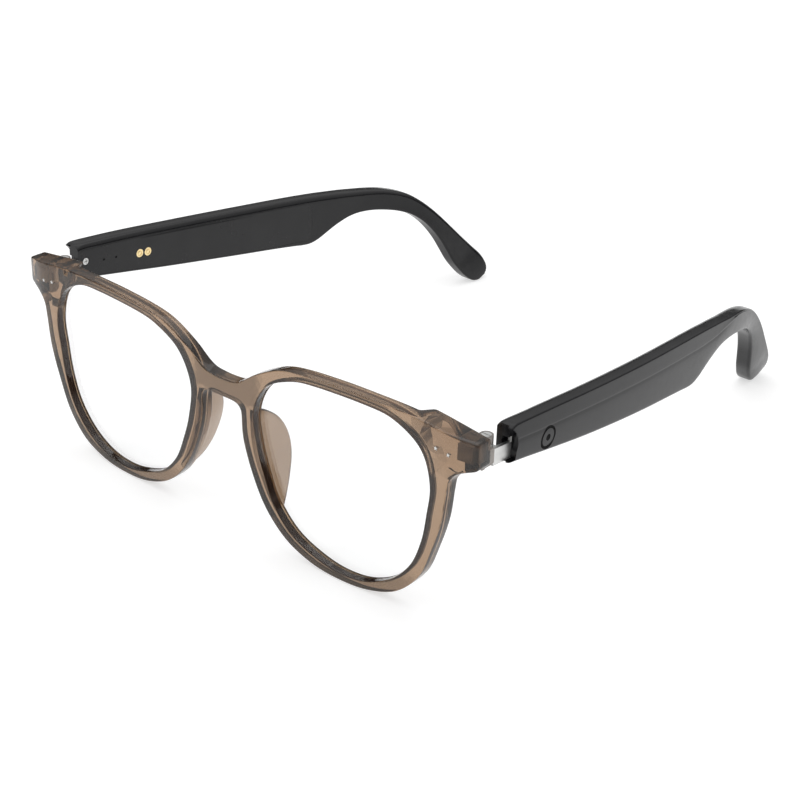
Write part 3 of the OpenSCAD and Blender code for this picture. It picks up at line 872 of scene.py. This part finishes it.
def tongue_screw():
    """A flat screw with a cross slot, in the temple's inner face."""
    screw = inner_part("screw", *SCREW, SCREW_PROFILE)
    top = TEMPLE_T + 0.2
    for across, tall in ((0.65, 0.13), (0.13, 0.65)):
        y, z = SCREW
        slot = [(y + across * i, z + tall * k) for i, k in ((-1, -1), (1, -1), (1, 1), (-1, 1))]
        face = outer_x(y)
        boolean(screw, prism("slot", slot, face - top, face - TEMPLE_T + 0.28), "DIFFERENCE")
    screw.data.set_sharp_from_angle(angle=math.radians(30))
    return screw


def place_on_both(piece, slot, body, node):
    """Finishes the left piece and its mirrored copy on the right."""
    twin = mirror_copy(piece, piece.name + "_right")
    for obj, side in ((piece, "left"), (twin, "right")):
        finish_piece(obj, slot, body + ("_" + side if body != "front" else ""), node + "_" + side)


def place_metal():
    contacts = join("contacts", [inner_part("contact", *c, CONTACT_PROFILE) for c in CONTACTS])
    place_on_both(contacts, "gold", "temple", "charge_contacts")
    place_on_both(tongue_screw(), "bright_steel", "temple", "tongue_screw")
    place_on_both(join("pins", [star_pin(*p) for p in PINS]), "bright_steel", "front", "front_pins")


make_front_assembly()
lens = make_lens()
twin = mirror_copy(lens, "lens_glass_right")
finish_piece(lens, "clear_lens", "front", "lens_left")
finish_piece(twin, "clear_lens", "front", "lens_right")
for piece in (lens, twin):
    piece.data.materials.append(lens_rim())
place_temples()
place_metal()


# ---------- floor, light, camera ----------
def floor():
    bm = bmesh.new()
    bmesh.ops.create_grid(bm, x_segments=8, y_segments=8, size=3)
    obj = new_object("floor", bm)
    obj.location.z = -0.0001
    m = Mat("floor_paper", Roughness=0.9, Specular_IOR_Level=0.1, Emission_Strength=0.6)
    m.tint(m.noise(3, 2), ((0.54, 0.54, 0.54), (0.56, 0.56, 0.56)))
    m.shader.inputs["Emission Color"].default_value = (1, 1, 1, 1)
    obj.data.materials.append(m.mat)


def area(name, location, target, size, power):
    data = bpy.data.lights.new(name, "AREA")
    data.shape = "RECTANGLE"
    data.size, data.size_y = size
    data.energy = power
    obj = bpy.data.objects.new(name, data)
    obj.location = location
    obj.rotation_mode = "QUATERNION"
    obj.rotation_quaternion = (Vector(target) - Vector(location)).to_track_quat("-Z", "Y")
    bpy.context.scene.collection.objects.link(obj)


def studio():
    """A dim room that is bright overhead, so that the black plastic reads as black under soft light."""
    sky = bpy.data.worlds.new("studio")
    bpy.context.scene.world = sky
    sky.use_nodes = True
    tree = sky.node_tree
    place = tree.nodes.new("ShaderNodeTexCoord")
    split = tree.nodes.new("ShaderNodeSeparateXYZ")
    ramp = tree.nodes.new("ShaderNodeValToRGB")
    stops = ramp.color_ramp.elements
    stops[0].position, stops[0].color = 0.1, (0.02, 0.02, 0.02, 1)
    stops[1].position, stops[1].color = 0.8, (0.8, 0.8, 0.8, 1)
    middle = stops.new(0.45)
    middle.color = (0.7, 0.7, 0.7, 1)
    tree.links.new(place.outputs["Generated"], split.inputs["Vector"])
    tree.links.new(split.outputs["Z"], ramp.inputs["Fac"])
    tree.links.new(ramp.outputs["Color"], tree.nodes["Background"].inputs["Color"])
    area("overhead", (-0.15, 0.1, 0.9), (0, 0, 0), (1.0, 1.0), 2.6)
    area("front_left", (-0.6, -0.7, 0.6), (0, 0, 0.03), (0.4, 0.6), 1.3)


def camera():
    azimuth, elevation, roll = (math.radians(a) for a in (39.71, 27.29, 1.91))
    back = Vector((math.sin(azimuth) * math.cos(elevation), -math.cos(azimuth) * math.cos(elevation),
                   math.sin(elevation)))
    right = Vector((math.cos(azimuth), math.sin(azimuth), 0))
    up = back.cross(right)
    across = right * math.cos(roll) + up * math.sin(roll)
    upward = up * math.cos(roll) - right * math.sin(roll)
    turn = Matrix((across, upward, back)).transposed()
    data = bpy.data.cameras.new("camera")
    data.sensor_width = 36
    data.lens = 84.34
    data.clip_start = 0.01
    obj = bpy.data.objects.new("camera", data)
    obj.matrix_world = Matrix.Translation(world(281.25, -277.73, 237.06)) @ turn.to_4x4()
    bpy.context.scene.collection.objects.link(obj)
    bpy.context.scene.camera = obj


floor()
studio()
camera()
bpy.context.scene.view_settings.view_transform = "Standard"
